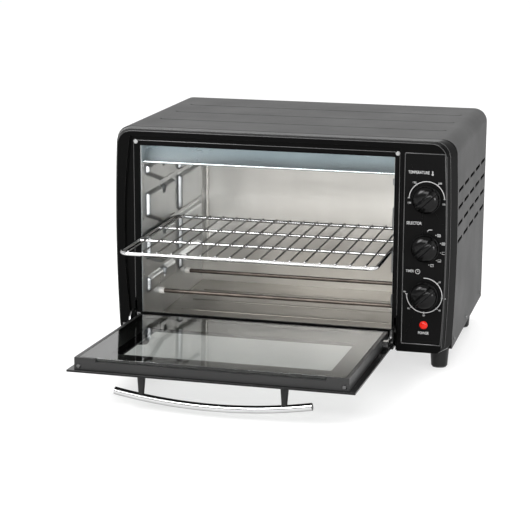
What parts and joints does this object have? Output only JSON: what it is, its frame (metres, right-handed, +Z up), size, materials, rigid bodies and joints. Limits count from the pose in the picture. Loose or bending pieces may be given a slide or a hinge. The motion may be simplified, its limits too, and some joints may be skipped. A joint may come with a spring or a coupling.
{
  "type": "toaster oven",
  "caption": "Countertop toaster oven with a drop-down glass door, a wire rack that slides out, control knobs and an indicator lamp.",
  "frame": {"origin": "middle of the four feet, on the surface the oven stands on", "axes": "+X to the right seen from the front, +Y towards the back, +Z up"},
  "size_m": [0.493, 0.6241, 0.329],
  "materials": {
    "shell_paint": "satin",
    "base_steel": "satin",
    "bezel_black": "gloss",
    "panel_black": "gloss",
    "chamber_steel": "galvanised",
    "reflector_steel": "bright",
    "heater_steel": "heat darkened",
    "ceramic": "matte",
    "bracket_steel": "satin",
    "phenolic": "matte",
    "bell_steel": "bright",
    "lamp_red": "translucent",
    "black_plastic": "satin",
    "knob_black": "gloss",
    "silicone": "matte",
    "rubber_pad": "matte",
    "screw_steel": "black oxide",
    "door_paint": "satin",
    "door_panel_black": "gloss",
    "tempered_glass": "clear",
    "chrome": "polished",
    "brass": "satin"
  },
  "bodies": {
    "housing": {"outer_shell": "shell_paint", "back_panel": "shell_paint", "base_panel": "base_steel", "front_bezel": "bezel_black", "control_panel": "panel_black", "chamber_left_wall": "chamber_steel", "chamber_right_wall": "chamber_steel", "chamber_ceiling": "chamber_steel", "chamber_floor": "chamber_steel", "chamber_back_wall": "chamber_steel", "upper_reflector": "reflector_steel", "heater_insulators": "ceramic", "heat_shield": "bracket_steel", "control_bracket": "bracket_steel", "thermostat": "phenolic", "selector_switch": "phenolic", "timer_unit": "bracket_steel", "timer_bell": "bell_steel", "lamp_body": "ceramic", "lamp_lens": "lamp_red", "terminal_block": "ceramic", "cable_gland": "black_plastic", "foot_pads": "rubber_pad", "door_bumpers": "silicone", "back_screws": "screw_steel", "side_screws": "screw_steel", "bracket_screws": "screw_steel", "foot_front_left": "black_plastic", "foot_front_right": "black_plastic", "foot_rear_left": "black_plastic", "foot_rear_right": "black_plastic", "heater_lower_front": "heater_steel", "heater_lower_rear": "heater_steel", "heater_upper_front": "heater_steel", "heater_upper_rear": "heater_steel", "hinge_bracket_left": "bracket_steel", "hinge_bracket_right": "bracket_steel", "hinge_pin_left": "bracket_steel", "hinge_pin_right": "bracket_steel"},
    "door": {"door_outer_panel": "door_panel_black", "door_frame": "door_paint", "door_glass": "tempered_glass", "door_screws": "screw_steel", "handle_screws": "screw_steel", "handle_bar": "chrome", "handle_post_left": "black_plastic", "handle_post_right": "black_plastic", "door_stay_left": "bracket_steel", "door_stay_right": "bracket_steel", "hinge_spring_left": "bracket_steel", "hinge_spring_right": "bracket_steel"},
    "rack": {"wire_rack": "chrome"},
    "temperature_control": {"temperature_knob": "knob_black", "temperature_shaft": "brass"},
    "selector_control": {"selector_knob": "knob_black", "selector_shaft": "brass"},
    "timer_control": {"timer_knob": "knob_black", "timer_shaft": "brass"}
  },
  "joints": [
    {"name": "door_hinge", "type": "hinge", "parent": "housing", "child": "door", "pos_m": [-0.022, -0.177, 0.052], "axis": [-1, 0, 0], "range_deg": [0, 87.8]},
    {"name": "rack_slide", "type": "slide", "parent": "housing", "child": "rack", "axis": [0, 1, 0], "range_m": [0, 0.118]},
    {"name": "temperature_turn", "type": "hinge", "parent": "housing", "child": "temperature_control", "pos_m": [0.2075, -0.17, 0.251], "axis": [0, 1, 0], "range_deg": [-135, 45]},
    {"name": "selector_turn", "type": "hinge", "parent": "housing", "child": "selector_control", "pos_m": [0.2075, -0.17, 0.1835], "axis": [0, 1, 0], "range_deg": [-45, 117]},
    {"name": "timer_turn", "type": "hinge", "parent": "housing", "child": "timer_control", "pos_m": [0.2075, -0.17, 0.1167], "axis": [0, 1, 0], "range_deg": [-45, 230]}
  ],
  "couplings": [
    {"joint": "rack_slide", "follows": "door_hinge", "m_per_rad": 0.077}
  ]
}
